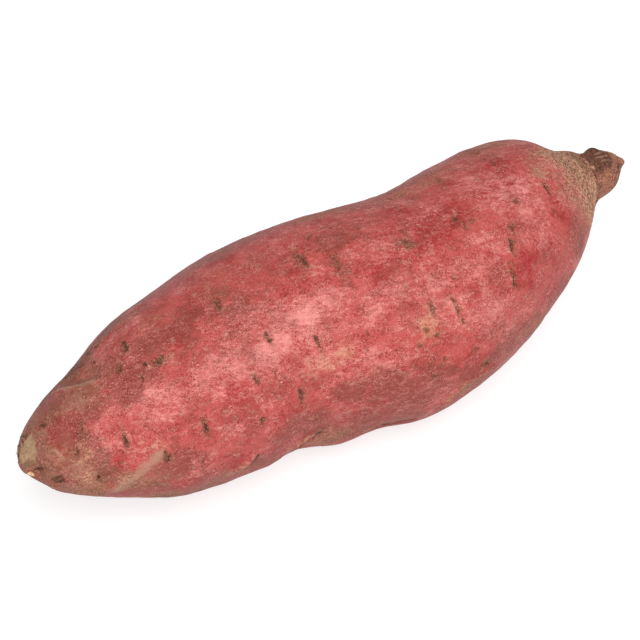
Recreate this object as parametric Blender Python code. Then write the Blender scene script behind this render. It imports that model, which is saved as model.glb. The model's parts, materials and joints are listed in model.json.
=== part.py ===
"""A sweet potato: one storage root lying on its side, with the cut stub of its stem still on.

It is one closed body. The long axis is X, from the tapered tip at -X to the crown and the stem stub
at +X, and Z is up. The root rests on a small flat spot under its belly. Angles round the body are in
degrees from +Y (the far side) towards +Z, so 90 is the top, 180 the near side and 270 the underside.
"""

import math

import bmesh
import bpy
import numpy as np

NAME = "sweet_potato"
MM = 0.001

# What shapes the whole root, in millimetres and degrees.
HEIGHT_SHARE = 0.96         # a lying root is a little lower than it is wide
FLAT_SPOT_DEPTH = 1.5       # how far the belly is flattened where it rests
STUB_LEAN_TOWARDS = 35.0    # the angle round the body that the stem stub leans to
STUB_CUT_DISH = 0.5         # the cut end of the stub has dried a little hollow
THIN_RADIUS = 5.0           # swellings die away where the body is thinner than this

# The grid of the skin.
SEGMENTS = 48               # a multiple of four, as the sphere starts a quarter turn round
ROWS = 66                   # from the tip to the middle of the cut
CUT_ROWS = 3                # of those, the rows that close the cut end of the stub
SAMPLES = 600               # points taken on the smooth profile to space the rows by
FINEST_STEP = 1.3           # spacing of the rows where the body is thinnest
STEP_PER_RADIUS = 0.085     # and how much it grows with the radius

SKIN_COLOUR = (0.47, 0.10, 0.085, 1.0)
SKIN_ROUGHNESS = 0.6

# Stations from the tip to the rim of the cut: along, radius, sideways, up, lean in degrees.
STATIONS = (
    (-93.5, 0.0, -0.5, 3.0, 0.0),
    (-92.5, 3.5, 0.0, 3.0, 0.0),
    (-90.0, 7.0, -0.5, 3.0, 0.0),
    (-86.0, 11.0, -1.5, 3.0, 0.0),
    (-79.0, 15.0, -1.5, 2.5, 0.0),
    (-70.0, 19.0, -1.5, 1.5, 0.0),
    (-55.0, 25.5, -1.0, 1.0, 0.0),
    (-36.0, 28.5, 0.5, 0.5, 0.0),
    (-15.0, 30.0, 2.5, 0.0, 0.0),
    (8.0, 32.5, -2.5, 0.0, 0.0),
    (30.0, 30.5, -5.5, 1.0, 0.0),
    (50.0, 28.5, -2.0, 1.5, 0.0),
    (66.0, 25.0, 2.0, 2.0, 0.0),
    (77.0, 20.5, 3.5, 3.0, 0.0),
    (85.0, 13.0, 3.0, 4.0, 0.0),
    (91.0, 9.0, 5.0, 4.5, 3.0),
    (95.0, 7.0, 4.0, 4.5, 8.0),
    (97.0, 7.0, 3.5, 5.0, 10.0),
    (99.5, 6.0, 5.0, 5.5, 25.0),
    (102.5, 4.0, 6.5, 6.5, 42.0),
)

# Lobes round the section: how many, share of the radius, angle at mid-length, twist in degrees a mm.
LOBES = (
    (2, 0.012, 20.0, 0.35),
    (3, 0.016, 20.0, -0.40),
    (5, 0.005, 110.0, 0.80),
)

# Swellings (and, below zero, hollows): along, angle, half length, half width, height, all but the
# angle in millimetres.
SWELLINGS = (
    (-10.5, 217.0, 6.0, 9.0, 2.5),
    (4.0, 213.0, 5.0, 9.0, -1.5),
    (20.0, 214.0, 8.0, 10.0, 0.5),
    (-45.0, 300.0, 12.0, 12.0, 0.9),
    (38.0, 320.0, 12.0, 10.0, -0.8),
    (-30.0, 20.0, 9.0, 8.0, 0.6),
    (60.0, 280.0, 9.0, 10.0, 0.8),
    (-66.0, 330.0, 8.0, 8.0, -0.7),
    (100.0, 35.0, 1.5, 5.0, 1.0),
)


def spline(stations, places):
    """Points on a smooth curve through the stations; place 2.5 is half way from number 2 to 3."""
    last = len(stations) - 2
    at = np.clip(np.floor(places).astype(int), 0, last)
    part = (places - at)[:, None]
    before = stations[np.maximum(at - 1, 0)]
    start = stations[at]
    end = stations[at + 1]
    after = stations[np.minimum(at + 2, last + 1)]
    # The tip is round, so the curve comes to it from the same curve on the other side.
    other_side = stations[1] * np.array([1.0, -1.0, 1.0, 1.0, 1.0])
    before = np.where((at == 0)[:, None], other_side, before)
    after = np.where((at == last)[:, None], 2.0 * end - start, after)
    return 0.5 * (
        2.0 * start
        + (end - before) * part
        + (2.0 * before - 5.0 * start + 4.0 * end - after) * part**2
        + (3.0 * start - before - 3.0 * end + after) * part**3
    )


def rows_of_body(stations, count):
    """The rings from the tip to the rim of the cut, closer together where the body is thin."""
    samples = spline(stations, np.linspace(0.0, len(stations) - 1.0, SAMPLES))
    steps = np.linalg.norm(np.diff(samples[:, :4], axis=0), axis=1)
    wanted = FINEST_STEP + STEP_PER_RADIUS * 0.5 * (samples[1:, 1] + samples[:-1, 1])
    passed = np.concatenate([[0.0], np.cumsum(steps / wanted)])
    places = np.linspace(0.0, passed[-1], count)
    return np.stack([np.interp(places, passed, column) for column in samples.T], axis=1)


def rows_of_cut(rim):
    """The rings that close the cut face, from just inside the rim to its middle."""
    rows = np.repeat(rim[None, :], CUT_ROWS, axis=0)
    inwards = 1.0 - np.arange(1, CUT_ROWS + 1) / CUT_ROWS
    rows[:, 1] = rim[1] * inwards
    lean = math.radians(rim[4])
    aside = math.radians(STUB_LEAN_TOWARDS)
    back = STUB_CUT_DISH * (1.0 - inwards)
    rows[:, 0] -= back * math.cos(lean)
    rows[:, 2] -= back * math.sin(lean) * math.cos(aside)
    rows[:, 3] -= back * math.sin(lean) * math.sin(aside)
    return rows


def relief(along, angle, radius):
    """How far the skin stands out from a plain round section, in millimetres."""
    out = np.zeros(np.broadcast(along, angle).shape)
    for count, share, phase, twist in LOBES:
        out = out + radius * share * np.cos(count * angle - np.radians(phase + twist * along))
    for place, turn, half_length, half_width, height in SWELLINGS:
        apart = (angle - math.radians(turn) + math.pi) % (2.0 * math.pi) - math.pi
        far = ((along - place) / half_length) ** 2 + (apart * radius / half_width) ** 2
        out = out + height * np.exp(-far) * np.clip(radius / THIN_RADIUS, 0.0, 1.0)
    return out


def skin(rows, angles):
    """The points of every row at every angle, in millimetres, as an array of rows x angles x 3."""
    along, radius, side, up, lean = (column[:, None] for column in rows.T)
    reach = radius + relief(along, angles, radius)
    out_y = reach * np.cos(angles)
    out_z = reach * np.sin(angles) * HEIGHT_SHARE
    aside = math.radians(STUB_LEAN_TOWARDS)
    # The part of the reach that points the way the stub leans is tipped back with the ring.
    leaning = out_y * math.cos(aside) + out_z * math.sin(aside)
    tip_back = np.radians(lean)
    shortened = leaning * (np.cos(tip_back) - 1.0)
    x = along - leaning * np.sin(tip_back)
    y = side + out_y + shortened * math.cos(aside)
    z = up + out_z + shortened * math.sin(aside)
    return np.stack([x, y, z], axis=2)


def body_points():
    """The grid of the skin: rows from the tip to the middle of the cut, angles all the way round."""
    stations = np.array(STATIONS)
    body = rows_of_body(stations, ROWS + 1 - CUT_ROWS)
    rows = np.concatenate([body, rows_of_cut(body[-1])])
    angles = np.arange(SEGMENTS) * 2.0 * math.pi / SEGMENTS
    points = skin(rows, angles[None, :])
    floor = points[:, :, 2].min() + FLAT_SPOT_DEPTH
    points[:, :, 2] = np.maximum(points[:, :, 2], floor)
    low = points.reshape(-1, 3).min(axis=0)
    high = points.reshape(-1, 3).max(axis=0)
    middle = (low + high) / 2.0
    return points - np.array([middle[0], middle[1], low[2]])


def skin_material():
    material = bpy.data.materials.new("sweet_potato_skin")
    material.use_nodes = True
    shader = material.node_tree.nodes["Principled BSDF"]
    shader.inputs["Base Color"].default_value = SKIN_COLOUR
    shader.inputs["Roughness"].default_value = SKIN_ROUGHNESS
    return material


def sweet_potato(collection):
    """A UV sphere whose poles become the tip and the middle of the cut, pulled to the skin's grid."""
    points = body_points()
    mesh = bmesh.new()
    bmesh.ops.create_uvsphere(mesh, u_segments=SEGMENTS, v_segments=ROWS, radius=1.0)
    for vert in mesh.verts:
        row = ROWS - round(math.acos(max(-1.0, min(1.0, vert.co.z))) * ROWS / math.pi)
        segment = round(math.atan2(vert.co.y, vert.co.x) * SEGMENTS / (2.0 * math.pi)) % SEGMENTS
        vert.co = points[row, segment] * MM
    bmesh.ops.recalc_face_normals(mesh, faces=mesh.faces)
    data = bpy.data.meshes.new(NAME)
    mesh.to_mesh(data)
    mesh.free()
    for face in data.polygons:
        face.use_smooth = True
    data.materials.append(skin_material())
    collection.objects.link(bpy.data.objects.new(NAME, data))


def main():
    for obj in list(bpy.data.objects):
        bpy.data.objects.remove(obj)
    collection = bpy.data.collections.new("sweet potato")
    bpy.context.scene.collection.children.link(collection)
    sweet_potato(collection)


if __name__ == "__main__":
    main()
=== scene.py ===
"""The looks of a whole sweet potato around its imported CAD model: red skin with
root scars, a scraped tip with torn bits of skin, a netted neck and a cut stub,
on a plain pale floor in soft studio light."""

import json
import math
import random

import bpy
import numpy as np
from bpy.props import FloatProperty, FloatVectorProperty, IntProperty, PointerProperty
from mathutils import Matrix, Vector

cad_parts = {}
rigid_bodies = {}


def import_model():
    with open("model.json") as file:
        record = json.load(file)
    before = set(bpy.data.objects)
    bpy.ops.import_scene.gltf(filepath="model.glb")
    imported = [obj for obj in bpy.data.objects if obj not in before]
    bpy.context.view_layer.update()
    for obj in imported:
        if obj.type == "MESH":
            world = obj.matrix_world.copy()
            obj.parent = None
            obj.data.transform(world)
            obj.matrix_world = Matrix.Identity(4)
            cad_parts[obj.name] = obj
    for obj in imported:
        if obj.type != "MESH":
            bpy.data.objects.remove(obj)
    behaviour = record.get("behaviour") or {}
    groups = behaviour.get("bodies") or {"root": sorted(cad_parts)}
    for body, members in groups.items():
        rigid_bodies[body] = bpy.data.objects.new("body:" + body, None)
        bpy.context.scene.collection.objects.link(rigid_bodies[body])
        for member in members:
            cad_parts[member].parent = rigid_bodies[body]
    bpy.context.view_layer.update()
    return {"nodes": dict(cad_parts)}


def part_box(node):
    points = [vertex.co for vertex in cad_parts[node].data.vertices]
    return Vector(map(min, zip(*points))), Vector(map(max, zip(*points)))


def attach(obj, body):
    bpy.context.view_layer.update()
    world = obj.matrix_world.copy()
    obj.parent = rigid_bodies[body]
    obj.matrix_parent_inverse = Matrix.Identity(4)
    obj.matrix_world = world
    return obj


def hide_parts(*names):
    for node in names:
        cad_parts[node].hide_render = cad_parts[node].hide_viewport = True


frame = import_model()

bl_info = {
    "name": "Sweet Potato",
    "version": (1, 0, 0),
    "blender": (4, 5, 0),
    "location": "3D View > Sidebar > Sweet Potato",
    "description": "Makes a whole sweet potato, its skin and its stage",
    "category": "Add Mesh",
}

ROOT_NODE = "sweet_potato"
BODY = "root"
MM = 0.001
PER_METRE = 1000
BOX_LOW, BOX_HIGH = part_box(ROOT_NODE)
MIDDLE = (BOX_LOW + BOX_HIGH) / 2
# The straight line that places on the skin are turned about, in millimetres.
SPINE_Y, SPINE_Z = 1.6, 29.4
# The skin's fine grain: how far its streaks are turned from the spine, in
# degrees, and how high it stands, in metres.
GRAIN_TURN = 24
GRAIN_HEIGHT = 0.00022
# In millimetres: how far round a scar the skin is cut finer, how much skin
# gives a place its slant, and how thick the cut face's rim is.
SCAR_MARGIN = 0.9
SLANT_REACH = 3
CUT_RIM = 0.7
FAR_AWAY = 1e9
# The first seed of each kind of shape that doesn't start at 0.
CREASE_SEEDS = 20
SCATTERED_SCAR_SEEDS = 60
SCATTERED_PATCH_SEEDS = 200
# Where each seam of the flat layout passes, and which way it runs.
SEAMS = (((0, SPINE_Y, 0), (1, 0, 0)), ((-84, 0, 45), (0, 1, 0)), ((78, 0, 45), (0, 1, 0)))
FLOOR_GAP = 0.2 * MM
# The camera looks at this place beside the root's middle.
AIM = MIDDLE + Vector((-5.6, 3.1, 0.5)) * MM

# A place on the skin is (along, around): millimetres from the middle towards
# the crown, and degrees about the spine, with 0 to the back, 90 on top and 180
# to the front. At the two ends it is a point in millimetres that is close to the
# skin, because degrees about the spine say little there.

# Root scars that lie across the body: along, around, length, width, tilt of the
# top towards the crown, and how open they are.
SCARS = (
    (-30.5, 118, 4, 2, -4, 1), (-19, 132, 5.5, 1.6, 4, 1), (-39, 136, 4, 1.6, -4, 0.7),
    (-28, 157, 7.5, 2.2, 3, 0.9), (-41, 158, 3, 2.4, 20, 0.8), (-56, 147, 6.5, 2, 6, 1),
    (-59.5, 170, 4, 1.2, 0, 0.6), (-44.5, 184, 3.5, 3.6, -12, 0.9), (-63.5, 76, 5.5, 2.4, 10, 0.9),
    (-59, 101, 3, 4.6, 0, 0.8), (-62.5, 98, 2.5, 1.2, 0, 0.9), (-68, 90, 3.5, 2.2, 14, 0.7),
    (-65, 105, 3.5, 1.2, 5, 0.7), (-75.5, 137, 6, 1.8, 8, 0.9), (-67.5, 156, 5, 2, 8, 1),
    (-84, 113, 3, 1.4, 5, 0.7), (-87.5, 131, 3, 2.4, 0, 0.8), (-84.5, 163, 3, 1.4, -10, 1),
    (-71.5, 62, 2.5, 1.4, 0, 0.8), (-52, 49, 3, 1.4, 0, 0.8), (-67.5, 49, 3, 2.6, 0, 0.7),
    (-37, 85, 7, 3, 12, 0.6), (-11, 87, 8, 2, 4, 0.9), (-4.5, 99, 7, 2.8, 8, 0.6),
    (-5, 74, 2.5, 2.4, 0, 0.5), (43, 129, 6, 2.8, 18, 0.9), (45.5, 121, 4, 2, 6, 0.8),
    (42, 135, 2, 1.2, -12, 0.7), (51.5, 109, 2, 2.4, 12, 0.7), (63.5, 107, 4.5, 2, -6, 1),
    (61.5, 122, 2, 1.4, -10, 0.7), (18.5, 143, 7, 1.8, -2, 0.9), (19.5, 150, 2.5, 1.6, -5, 0.7),
    (39, 145, 6, 2.6, -8, 0.9), (25, 177, 3.5, 3.2, -18, 0.8), (21, 166, 2.5, 2.4, -25, 0.7),
    (11.5, 163, 2, 1.4, 8, 0.6), (12.5, 139, 5, 2.2, 5, 0.5), (8, 170, 2, 2.6, 0, 0.5),
    (5.5, 152, 2, 2, 0, 0.6), (8.5, 147, 2.5, 1.4, -10, 0.6), (11, 151, 1.5, 2, -20, 0.6),
    (15, 107, 5, 3, 10, 0.8), (16.5, 100, 3.5, 1.4, 0, 0.5), (31.5, 104, 2.5, 2.2, 0, 0.8),
    (33, 110, 6, 1.4, 30, 0.6), (35.5, 110, 2, 1.8, 0, 0.6), (21.5, 131, 2, 1.2, 0, 0.6),
    (38, 70, 5, 1.6, 6, 0.5), (54.5, 76, 3, 1.8, 10, 0.7), (55, 56, 3, 2, 0, 0.6),
    (23.5, 65, 2, 1.6, 0, 0.6), (29, 76, 2, 1.4, 0, 0.5), (-6, 137, 2, 1, 0, 0.6),
    (-33, 136, 2, 1, 0, 0.6), (-2.5, 160, 2, 1.2, 0, 0.5), (-24.5, 178, 2, 1, 0, 0.4),
    (-93, 160, 3.5, 1.6, 25, 0.6),
)

# Coloured places by kind, one of MARKS: along, around, length along, width
# around in mm, strength, and tilt where there is one.
PATCHES = {
    # The olive along the top and bottom edges and in the dip near the tip is partly painted shade.
    "olive": (
        (-76, 41, 34, 7, 0.7), (-78, 60, 6, 5, 0.5),
        (-36.5, 84, 7, 9, 0.5, 10), (-39, 108, 7, 4, 0.4), (-12, 90, 4, 12, 0.5, 4),
        (-4, 102, 5, 12, 0.45, 10), (-5.5, 70, 3, 8, 0.4, -12), (15, 106, 7, 5, 0.6),
        (22.5, 92, 5, 4, 0.35), (27, 118, 6, 3, 0.35), (37.5, 74, 2.5, 10, 0.45, 6),
        (54.5, 55, 4, 9, 0.5), (-76.5, 66, 9, 14, 0.75, -8), (-66, 46, 16, 7, 0.6),
        (-53, 50, 8, 6, 0.5), (-57, 199, 9, 5, 0.55), (-43.5, 186, 4, 5, 0.6),
        (-20, 202, 14, 6, 0.4), (-94, 158, 7, 9, 0.5, 15), (-88, 83, 8, 8, 0.75),
        (62, 51, 18, 7, 0.5), (21, 190, 16, 6, 0.45), (-84, 178, 8, 10, 0.5),
        (-62, 205, 26, 8, 0.45), (-37, 200, 14, 8, 0.35), (45, 186, 20, 5, 0.25),
        (-82, 157, 8, 8, 0.6), (-84, 119, 2, 6, 0.7), (-45, 190, 6, 5, 0.7), (-76, 57, 14, 8, 0.8),
        (-74, 68, 9, 8, 0.6), (-71, 178, 10, 7, 0.5, 20), (84, 76, 7, 12, 0.9),
        (-62, 204, 30, 5, 0.8), (-61, 203, 14, 7, 0.7), (-16, 206, 18, 9, 0.7),
        (-24, 190, 12, 6, 0.4),
    ),
    # The bark places along the top edge near the tip and along the bottom edge are painted shade at
    # the outline.
    "bark": (
        (-74, 50, 22, 5, 0.4), (-78, 40, 20, 3, 0.7), (-62, 38, 14, 3, 0.6), (-86, 44, 8, 4, 0.6),
        (-44, 186, 2.5, 4, 0.6), (-60, 208, 30, 4, 0.5), (-74, 44, 16, 5, 0.6),
        (-4, 206, 10, 3, 0.7),
    ),
    "straw": (
        (9.5, 145, 6, 8, 0.8, 20), (12, 150, 6, 3, 0.6), (-13, 142, 8, 5, 0.8, -10),
        (-20, 145, 10, 6, 0.6), (65, 95, 7, 8, 0.5), (-86.5, 158, 6, 8, 0.45),
        (76.5, 142, 4, 9, 0.6), (77, 70, 10, 5, 0.45), (-68, 150, 6, 5, 0.5),
        (-92, 125, 4, 7, 0.45), (-85.5, 138, 5, 4, 0.4), (-22, 196, 8, 3, 0.6),
    ),
    # The pale places along the lit middle band are partly painted highlight.
    "pale": (
        (-33, 125, 9, 6, 0.95), (-29, 122, 10, 10, 0.6), (-30, 103, 14, 7, 0.45),
        (-50, 125, 12, 9, 0.85), (-50, 117, 9, 4, 0.6), (-62, 128, 16, 10, 0.5),
        (-16, 120, 16, 12, 0.7), (-5, 131, 14, 8, 0.5), (4, 126, 14, 8, 0.5),
        (20, 128, 26, 7, 0.65, 4), (36, 121, 14, 6, 0.55, 4), (30, 140, 22, 10, 0.3),
        (54, 122, 14, 16, 0.5), (26, 152, 14, 8, 0.35), (-49, 158, 9, 9, 0.6),
        (-20, 143, 18, 7, 0.5), (-83, 97, 6, 5, 0.4), (-60, 62, 14, 5, 0.35), (-42, 61, 6, 4, 0.35),
        (-9, 114, 10, 5, 0.5), (28, 131, 16, 8, 0.7), (52, 130, 12, 9, 0.75), (14, 142, 10, 6, 0.6),
        (40, 128, 10, 6, 0.6), (-47, 186, 7, 3, 0.9), (4, 142, 8, 7, 0.6), (46, 118, 8, 6, 0.5),
    ),
    # Some deep places are painted shade: in hollows round the scars and along the bottom edge.
    "deep": (
        (-47, 92, 12, 9, 0.6), (-64, 102, 10, 7, 0.55), (-42, 134, 14, 3, 0.6),
        (-64, 142, 9, 6, 0.7), (-80, 154, 7, 8, 0.7), (-88, 114, 9, 13, 0.95),
        (-27, 114, 10, 4, 0.35), (-15, 103, 14, 6, 0.45), (-12, 172, 18, 12, 0.6),
        (10, 115, 24, 7, 0.75), (27, 104, 20, 11, 0.85), (19, 85, 10, 10, 0.5),
        (48, 100, 14, 6, 0.75), (57, 80, 9, 10, 0.7), (44, 140, 18, 6, 0.8), (46, 150, 22, 6, 0.45),
        (66, 125, 10, 14, 0.6), (-3, 184, 22, 12, 0.4), (18, 172, 26, 7, 0.45),
        (-14, 67, 10, 10, 0.4), (-35, 170, 16, 9, 0.35), (-60, 186, 30, 10, 0.6),
        (-30, 186, 30, 10, 0.5), (52, 100, 12, 9, 1), (26, 100, 14, 8, 1), (20, 110, 9, 6, 0.9),
        (-4, 180, 30, 8, 1), (-44, 190, 8, 5, 1),
    ),
    # The long mauve strips along the top and bottom edges are painted sheen and shade.
    "mauve": (
        (-84, 66, 12, 9, 0.8),
        (-82, 146, 8, 8, 0.6), (-57, 55, 14, 6, 0.7), (-90, 68, 12, 10, 0.7), (70, 126, 6, 16, 0.3),
        (70, 155, 6, 14, 0.7), (-25, 45, 30, 7, 0.5), (-42, 196, 16, 6, 0.4), (30, 52, 40, 6, 0.5),
        (-74, 190, 14, 10, 0.5), (34, 188, 40, 8, 0.45),
    ),
    # The russet along the bottom edge is partly painted shade.
    "russet": (
        (8, 52, 26, 10, 0.6), (33, 62, 26, 12, 0.55), (60, 53, 22, 12, 0.55),
        (-30, 72, 30, 12, 0.3), (-55, 75, 16, 10, 0.35), (-78, 80, 18, 20, 0.5),
        (-74, 175, 22, 12, 0.55), (-88, 175, 14, 20, 0.85), (-66, 200, 20, 9, 0.7),
        (-48, 195, 18, 8, 0.5), (-21, 203, 16, 9, 0.75), (-2, 200, 20, 8, 0.45),
        (21, 190, 18, 9, 0.8), (44, 182, 28, 9, 0.5), (66, 92, 9, 12, 0.5), (38, 162, 26, 8, 0.25),
        (-88, 140, 10, 16, 0.5), (-76, 174, 12, 9, 0.9, 20),
    ),
    # The dusty places along the bottom edge and in the dip near the tip are painted shade.
    "dusty": (
        (-83, 64, 12, 10, 1),
        (-52, 88, 22, 12, 0.8), (-66, 166, 14, 10, 0.8), (4, 172, 26, 10, 0.9),
        (36, 176, 30, 8, 0.7), (68, 152, 8, 12, 0.7), (-84, 130, 8, 8, 0.6), (-70, 80, 12, 12, 0.6),
        (-8, 166, 24, 12, 0.8), (-30, 178, 22, 10, 0.6), (-26, 90, 10, 8, 0.5),
        (2, 84, 16, 12, 0.5), (-68, 104, 16, 12, 0.9), (-84, 152, 14, 12, 1), (-62, 200, 26, 8, 1),
        (-42, 194, 14, 6, 0.9), (-80, 93, 14, 14, 1), (-36, 95, 14, 8, 0.7),
    ),
    "net": (
        (73, 104, 7, 8, 0.8), (70.5, 116, 6, 8, 0.7), (76, 92, 6, 8, 0.7),
    ),
    "scab": (
        (-37, 84, 3, 7, 0.5, 12), (-12, 87, 2, 10, 0.5, 6), (-5, 100, 2, 10, 0.45, 14),
        (-3, 95, 2, 5, 0.45, 14), (15, 107, 4, 4, 0.5), (-85, 119, 2, 4, 0.6),
        (13, 102, 2, 8, 0.4, 14), (31, 107, 5, 5, 0.35), (40, 139, 3, 5, 0.3),
    ),
    # The fold places along the top edge near the crown are painted sheen.
    "fold": (
        (-92, 96, 4, 5, 0.45), (-82, 88, 10, 8, 0.5), (-49, 189, 9, 4, 0.8), (-89, 146, 7, 6, 0.45),
        (67, 116, 5, 8, 0.5), (63, 97, 5, 5, 0.6), (72, 128, 5, 14, 0.45), (-92, 62, 6, 6, 0.5),
        (60, 46, 10, 5, 0.6), (44, 46, 14, 4, 0.4), (52, 190, 12, 4, 0.5), (-51, 189, 6, 4, 0.5),
    ),
}

# Folds and creases as lines over the skin: their places, how high or deep they
# are in mm, their width, the kind of mark on them, and its strength.
# The pale marks on these folds are partly painted highlight.
RIDGES = (
    (((-66, 148), (-70, 155), (-75, 164), (-80, 176), (-84, 188)), 1.1, 1.9, "fold", 0.9),
    (((-84, 56), (-81, 66), (-77, 77), (-73, 88)), 0.9, 0.9, "fold", 1.0),
    (((-43.5, 179), (-46.5, 182), (-50, 186), (-52.5, 192)), 0.9, 1.0, "straw", 0.4),
    (((29, 188), (24, 183), (18.5, 184), (13.5, 191), (11, 199)), 0.7, 1.1, "straw", 0.55),
    (((-31, 203), (-29.5, 197), (-27, 193), (-23.5, 192)), 0.8, 0.9, "straw", 1.0),
    (((-69, 55), (-63, 51), (-57, 53), (-51, 56)), 0.45, 1.2, "straw", 0.3),
    # Folds of the tip.
    (((-93, -4, 41), (-92, -5.5, 41.5), (-91.5, -7, 41), (-91.5, -9, 40)), 1.1, 0.7, "fold", 0.75),
    (((-91, -9.5, 39.5), (-88.5, -11, 39.5), (-85.5, -11.5, 40.5)), 0.6, 1.1, "straw", 0.6),
    (((-96, -2, 38), (-95.5, -4, 37.5), (-95, -6, 36.5)), 0.5, 0.8, "olive", 0.5),
    (((-96, -6, 31), (-94.5, -8, 31), (-93, -9, 30)), 0.7, 1.3, "mauve", 0.6),
    # The cut rim of the stub and the ribs of its bark.
    (((94, 6.5, 40), (95, 5, 39.5), (96, 4, 38.5), (98, 4, 36)), 0.4, 0.5, "straw", 1.0),
    (((89.5, 7, 41), (91, 6.5, 41), (93, 6.5, 40)), 0.6, 0.5, "fold", 0.8),
    (((89, 5.5, 41), (91, 5, 40.5), (94, 4.5, 39.5)), 0.6, 0.5, "fold", 0.8),
    (((90, 4, 40.5), (92, 3.5, 40), (94, 3, 39)), 0.6, 0.5, "fold", 0.8),
    (((89.5, 3, 40.5), (90.5, 2.5, 40)), 0.5, 0.4, "straw", 0.8),
    (((97.5, 3.5, 36.5), (98, 3.5, 35)), 0.3, 0.7, "fold", 0.7),
    (((80, -8, 35), (78.5, -9, 34), (76.5, -11, 33)), 0.2, 0.8, "straw", 1.0),
)
# The dark marks along the creases are painted shade in them, such as the shadow under the nose of
# the tip.
CREASES = (
    (((-29, 206), (-26.5, 200), (-24.5, 197), (-21, 198)), 1.8, 0.8, "bark", 1.0),
    (((-28, 208), (-27, 213), (-26, 220)), 1.4, 1.2, "bark", 0.6),
    (((-7, 207), (-3, 204), (2, 203), (7, 205)), 0.9, 1.2, "bark", 0.9),
    (((-76.5, 60), (-74, 70), (-71.5, 79)), 0.6, 1.6, "olive", 0.3),
    (((-45.5, 181), (-44, 188), (-43.5, 196)), 0.9, 1.3, "bark", 0.6),
    # Creases of the tip: above the scraped patch, under the nose, and the fork.
    (((-93, 8, 38.5), (-92.5, 6.5, 40.5), (-91.5, 4, 42)), 0.4, 0.6, "bark", 0.6),
    (((-91.5, 4, 42), (-91, 2.5, 43), (-90.5, 1.5, 43.5)), 0.7, 0.6, "bark", 1.0),
    (((-92.5, 1.5, 42.5), (-92, -0.5, 42.5), (-92.5, -2, 42)), 0.3, 0.5, "olive", 0.8),
    (((-98, -3, 33), (-97, -4, 34), (-96, -5, 35)), 1.2, 0.8, "bark", 1.0),
    (((-96.5, -3, 36), (-95.5, -5, 36), (-94, -7.5, 36)), 0.4, 0.7, "olive", 0.9),
    (((-95, -7, 32), (-94, -8, 33), (-93.5, -9, 34.5), (-92.5, -10, 35.5)), 0.5, 0.5, "bark", 0.9),
    (((-94.5, -7.5, 31.5), (-93.5, -9, 32.5), (-92.5, -10.5, 34)), 0.4, 0.4, "bark", 0.8),
    # The stub's ring and its cracks, darkened with painted shade.
    (((87.5, 7.5, 41), (87, 5, 41.5), (86.5, 2.5, 41.5)), 0.5, 0.5, "bark", 0.7),
    (((86.5, 2.5, 41.5), (86.5, 0.5, 40), (87, -1, 38.5)), 1.0, 0.6, "bark", 1.0),
    (((87, -1, 38.5), (87, -2, 36.5), (86, -3, 34.5)), 0.4, 0.6, "bark", 0.4),
    (((94.5, 6, 39.5), (95.5, 5, 39), (96, 4.5, 38.5)), 0.4, 0.35, "bark", 0.8),
    (((85.5, -2.5, 34.5), (84.5, -4, 33.5), (84, -5, 32.5)), 0.6, 0.6, "bark", 0.9),
    (((92, 2.5, 39.5), (93.5, 0.5, 38), (94, -0.5, 36)), 0.3, 0.5, "bark", 0.5),
)
# Swellings and hollows: place, size in mm, and rise in mm.
LUMPS = (
    ((-87.5, 115), 4.6, -1.2), ((-18, 211), 7, 0.4), ((-47, 180), 4, 0.5), ((-57, 200), 5, -0.6),
    ((-37, 206), 5, 0.5), ((-29, 209), 3, -0.9), ((-84, 163), 2.2, -0.5), ((2, 206), 8, 0.6),
    ((-76, 65), 5, -1.3), ((-66, 45), 6, -0.5), ((20, 192), 4, -0.4),
    # The nose of the tip, the dip under it and a nick beside it.
    ((-98.5, -0.5, 34), 2.6, 0.9), ((-98.5, -1.5, 33), 1.4, 0.5), ((-97, -4, 32), 1.5, -1.5),
    ((-96, -5, 35.5), 1.5, -0.6), ((-98, 4.5, 35.5), 0.8, -0.4), ((-96, 0, 38.5), 2.6, -0.45),
    ((-90.5, -8.5, 41.5), 1.6, -0.5), ((-93, -7.5, 38.5), 2, 0.6), ((-92.5, -10, 36.5), 2.4, -0.6),
    ((-89.5, -12.5, 35.5), 3.4, 0.6),
    # The knob of the stub, the notch beside it and the step to the rim.
    ((91, 9, 40), 1.9, 0.9), ((87, 8, 41), 1.3, -1.6), ((93.5, 5.5, 40), 1.4, 0.35),
    ((98, 4, 36), 1.3, 0.7), ((91, 2.5, 39.5), 1.6, -0.35), ((84.5, -4, 33.5), 1.2, -0.8),
)

# Areas of the ends by their corners, in mm: kind, strength, softness, corners.
AREAS = (
    ("scrape", 0.9, 0.8, (
        (-94, 3.5, 40.5), (-97, 4, 37), (-98.5, 2.5, 35.5), (-99, 0.5, 34), (-98, -1.5, 34.5),
        (-96.5, -2.5, 37), (-94.5, 0.5, 40),
    )),
    ("olive", 0.9, 0.8, ((-97.5, -0.5, 36.5), (-94.5, -6, 36.5), (-97, -4, 34), (-98.5, 0, 33.5))),
    ("bark", 0.95, 0.7, (
        (87, 9.5, 39.5), (91, 10, 39), (93, 8.5, 40), (94, 5.5, 40), (94, 3, 39), (92, 1, 39),
        (87, 1.5, 40), (87, 4, 41), (86.5, 7.5, 41),
    )),
    ("bark", 0.7, 0.7, ((97.5, 2.5, 36.5), (96, 3, 38), (94.5, 1.5, 38), (95.5, 0.5, 36))),
)

# The kinds of mark that the skin's material reads from the mesh.
MARKS = (
    "cork", "scab", "olive", "straw", "pale", "deep", "dusty", "mauve", "net", "russet", "bark",
    "fold", "cut", "scrape",
)

# What the scars and patches of the back and the underside are drawn from.
SCATTERED_SCAR = {
    "along": (-85, 80), "around": (225, 400), "length": (2, 6.5), "width": (0.9, 2.0),
    "tilt": (-20, 20), "openness": (0.5, 1),
}
SCATTERED_PATCH = {
    "along": (-85, 66), "around": (215, 400), "length": (6, 20), "width": (4, 12),
    "tilt": (-15, 15), "strength": (0.3, 0.8),
}
SCATTERED_KINDS = ("deep", "deep", "pale", "pale", "mauve", "olive", "russet")

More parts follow.
